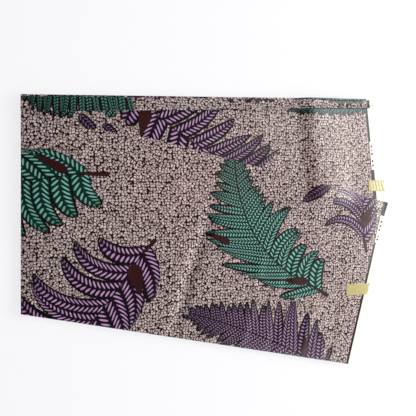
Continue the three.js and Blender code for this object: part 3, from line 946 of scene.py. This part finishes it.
def soft_outline(corners):
    """A closed polygon, evenly spaced and smoothed by a rolling mean, with its outward normals."""
    points = evenly(np.array([*corners, corners[0]]), outline_points + 1)[:-1]
    window = range(-corner_softness, corner_softness + 1)
    for _ in range(3):
        points = sum(np.roll(points, k, axis=0) for k in window) / len(window)
    tangent = np.roll(points, -1, axis=0) - np.roll(points, 1, axis=0)
    return points, np.stack([tangent[:, 1], -tangent[:, 0]], axis=1) / np.hypot(*tangent.T)[:, None]


def wander(random, count, waves):
    """A smooth closed wave between 0 and 1: a few sines of random phase."""
    angle = np.linspace(0, 2 * np.pi, count, endpoint=False)
    wave = sum(np.sin(k * angle + random.uniform(0, 2 * np.pi)) / k ** 0.5 for k in waves)
    return (wave - wave.min()) / (wave.max() - wave.min())


random = np.random.default_rng(5)
outline, outline_normal = soft_outline(pile_outline)
least_inset = 0.0018
inset_range = 0.0022
waves = (1, 2, 3, 5, 8, 13)
crest_insets = [least_inset + inset_range * wander(random, outline_points, waves) for _ in range(stack_folds)]
stack_rings = []
for fold in range(stack_folds):
    low, high = fold / stack_folds, (fold + 1) / stack_folds
    below = crest_insets[max(0, fold - 1)]
    groove = np.maximum(crest_insets[fold], below) + fold_groove
    stack_rings.append((groove, low))
    for share in (0.18, 0.5, 0.82):
        shoulder = 0.0003 * abs(share - 0.5) / 0.32
        stack_rings.append((crest_insets[fold] + shoulder, low + (high - low) * share))
stack_rings.append((crest_insets[-1] + fold_groove, 1.0))
ring_points = []
for inset, share in stack_rings:
    plan = outline - outline_normal * inset[:, None]
    ring_points.append(np.column_stack([plan, np.full(outline_points, share * stack_height)]))
stack_points = np.concatenate(ring_points)
stack_ids = np.arange(len(stack_points)).reshape(-1, outline_points)
stack_sides = np.concatenate([band_quads(low, high) for low, high in zip(stack_ids, stack_ids[1:])])
stack_faces = stack_sides.tolist() + [stack_ids[0][::-1].tolist(), stack_ids[-1].tolist()]
stack = new_piece("folded_stack_layers", stack_points, stack_faces)
map_flat(stack.data, stack_points)

# Matt fold edges: pale flecks of pebble on the dark ground, with patches of teal and lilac ink
stack_material, put = new_material("folded_cotton_edges")
place = put("TexCoord").outputs["Object"]
stretched = put("VectorMath", {0: place, 1: (1.0, 1.0, 9.0)}, operation="MULTIPLY")
specks = put("TexVoronoi", {"Vector": stretched, "Scale": 190.0}, feature="DISTANCE_TO_EDGE")
speck = put("MapRange", {0: specks, 1: 0.05, 2: 0.16}, **smooth)
edge_ink = put("Mix", {0: speck, 6: linear("#2a1518"), 7: linear("#d8c1ba")}, data_type="RGBA")
flattened = put("VectorMath", {0: place, 1: (1.0, 1.0, 60.0)}, operation="MULTIPLY")
patch = put("TexNoise", {"Vector": flattened, "Scale": 16.0, "Detail": 1.0}).outputs["Fac"]
teal_patch = put("MapRange", {0: patch, 1: 0.6, 2: 0.63})
lilac_patch = put("MapRange", {0: patch, 1: 0.4, 2: 0.37})
with_teal = put("Mix", {0: teal_patch, 6: edge_ink, 7: linear("#14584c")}, data_type="RGBA")
with_lilac = put("Mix", {0: lilac_patch, 6: with_teal, 7: linear("#5a3a66")}, data_type="RGBA")
finish = {"Base Color": with_lilac, "Roughness": 0.7, "Specular IOR Level": 0.3}
put("OutputMaterial", {0: put("BsdfPrincipled", finish)})
stack.data.materials.append(stack_material)
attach(stack, "root")
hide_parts("folded_stack")

# Tape tabs
# Two lengths of clear yellow adhesive tape, 20 mm wide, hold the selvedges together. Each lies on
# the cloth, turns round its edge and runs down the side of the pile.
tape_width = 0.020
tape_thickness = 0.00025
tape_bend = 0.0012
tape_rows = 20
tape_inset = 0.0004
tape_skew = 0.0012
tape_pucker = 0.00018
tape_lift = 0.0001
tape_hollow = 0.0010
tape_end_gap = 0.0004


def tape_tab(name, inner_x, middle_y, side, height, seed):
    """A thin closed strip over an edge: a flap on the cloth, a quarter turn, and a drop to the table."""
    random = np.random.default_rng(seed)
    y = middle_y + tape_width * (np.linspace(0, 1, tape_rows) - 0.5)
    order = np.argsort(side[:, 1])
    edge = np.interp(y, side[order, 1], side[order, 0]) - tape_inset
    skew = tape_skew * random.uniform(-1, 1)
    flap = np.linspace(0, 1, 26)
    x = inner_x + skew * (y - middle_y)[:, None] / tape_width + (edge[:, None] - inner_x) * flap[None]
    rows_y = np.repeat(y[:, None], x.shape[1], axis=1)
    pucker = tape_pucker * np.sin(x * 900 + rows_y * 300 + seed) * (0.4 + flap[None])
    z = height(x, rows_y) + tape_thickness + tape_lift + pucker
    turn = np.linspace(0, np.pi / 2, 9)[1:]
    turn_x = x[:, -1:] + tape_bend * np.sin(turn)
    turn_z = z[:, -1:] - tape_bend * (1 - np.cos(turn))
    drop = np.linspace(0, 1, 11)[1:]
    drop_x = turn_x[:, -1:] - tape_hollow * np.sin(np.pi * drop)
    drop_z = turn_z[:, -1:] * (1 - drop) + tape_end_gap * drop
    x, z = np.concatenate([x, turn_x, drop_x], axis=1), np.concatenate([z, turn_z, drop_z], axis=1)
    rows_y = np.repeat(y[:, None], x.shape[1], axis=1)
    grid = np.stack([x, rows_y, z], axis=2)
    normal = np.cross(np.gradient(grid, axis=1), np.gradient(grid, axis=0))
    normal /= np.linalg.norm(normal, axis=2, keepdims=True)
    points = np.concatenate([grid.reshape(-1, 3), (grid - normal * tape_thickness).reshape(-1, 3)])
    rows, columns = x.shape
    outer = np.arange(rows * columns).reshape(rows, columns)
    inner = outer + rows * columns
    rim = rim_order(rows, columns)
    faces = [grid_quads(outer), grid_quads(inner.T), band_quads(inner[rim], outer[rim])]
    return new_piece(name, points, np.concatenate(faces).tolist())


# Thin yellow film with a soft gloss, a little mottled, through which the print shows faintly
tape_material, put = new_material("clear_yellow_adhesive_tape")
place = put("TexCoord").outputs["Object"]
mottle = put("TexNoise", {"Vector": place, "Scale": 160.0, "Detail": 3.0}).outputs["Fac"]
tape_ink = put("Mix", {0: mottle, 6: linear("#a99c54"), 7: linear("#d2c98c")}, data_type="RGBA")
film = {"Base Color": tape_ink, "Roughness": 0.35, "Alpha": 0.86, "Coat Weight": 0.4, "Coat Roughness": 0.2}
put("OutputMaterial", {0: put("BsdfPrincipled", film)})

for name, node, inner_x, middle_y, side, height, seed in (
    ("tape_tab_upper_film", "tape_tab_upper", 0.2730, 0.081, upper_plan[:, -1], upper_top, 3),
    ("tape_tab_lower_film", "tape_tab_lower", 0.2240, -0.108, lower_plan[:, -1], lower_top, 8),
):
    tab = tape_tab(name, inner_x, middle_y, side, height, seed)
    tab.data.materials.append(tape_material)
    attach(tab, "root")
    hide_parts(node)
